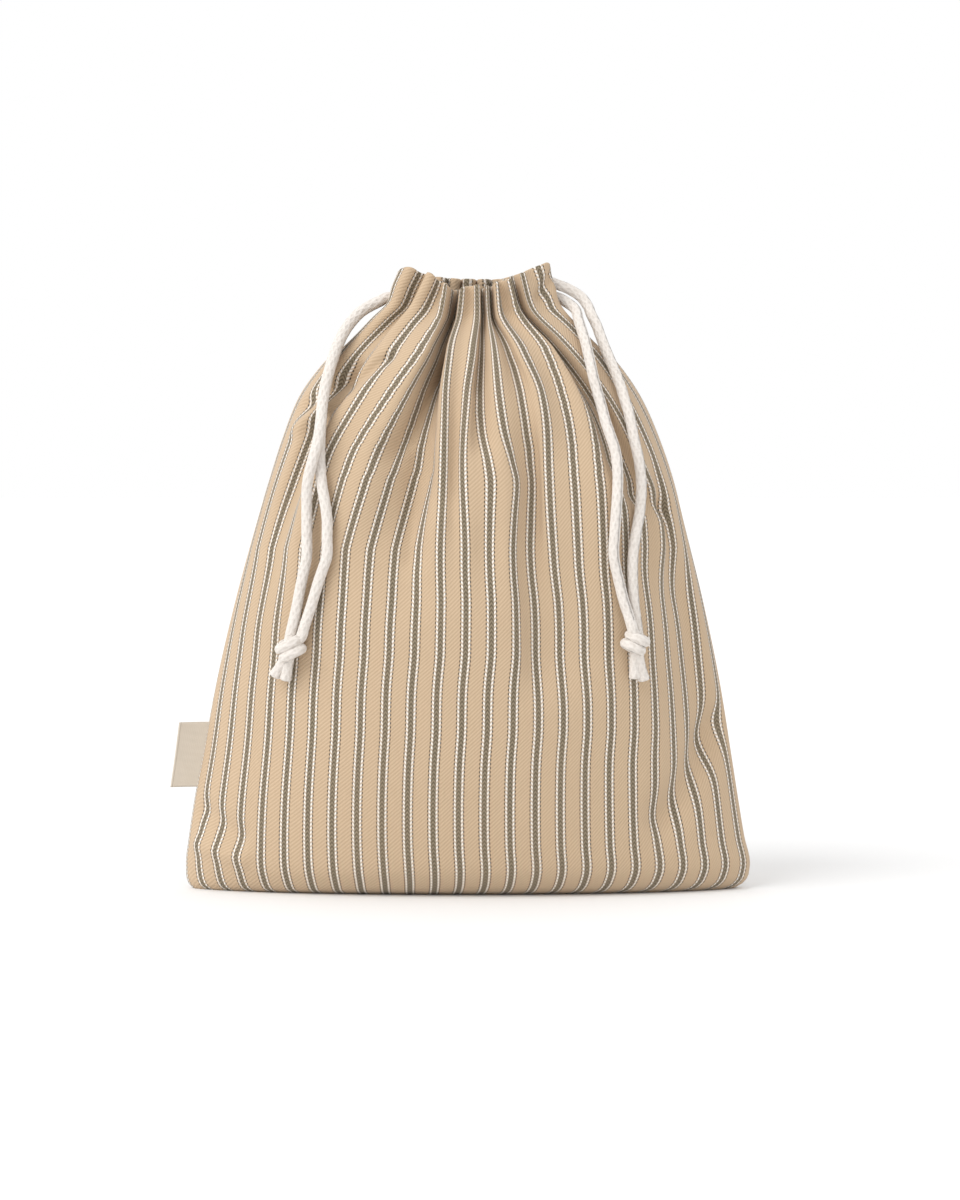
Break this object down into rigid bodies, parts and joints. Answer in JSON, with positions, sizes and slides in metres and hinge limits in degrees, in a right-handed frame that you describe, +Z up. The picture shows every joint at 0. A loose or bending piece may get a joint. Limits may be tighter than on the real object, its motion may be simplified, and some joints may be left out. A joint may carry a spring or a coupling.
{
  "type": "drawstring washbag",
  "caption": "Soft drawstring washbag in striped cotton ticking, standing full on its base, gathered at the neck with knotted cotton cords and a blank folded side label.",
  "frame": {"origin": "on the surface the bag stands on, under the middle of its outline without the cords", "axes": "+Z up, the front panel faces -Y, the label stands out of the left side seam at -X"},
  "size_m": [0.2727, 0.1285, 0.2918],
  "materials": {
    "ticking_cloth": "sand cotton ticking with olive and white lengthwise stripes, matt twill weave",
    "cotton_cord": "off-white braided cotton cord, matt",
    "label_tape": "blank taupe woven tape, matt"
  },
  "bodies": {
    "root": {"front_panel": "ticking_cloth", "back_panel": "ticking_cloth", "cord_left_a": "cotton_cord", "cord_left_b": "cotton_cord", "knot_left": "cotton_cord", "cord_right_a": "cotton_cord", "cord_right_b": "cotton_cord", "knot_right": "cotton_cord", "label": "label_tape"}
  },
  "joints": []
}
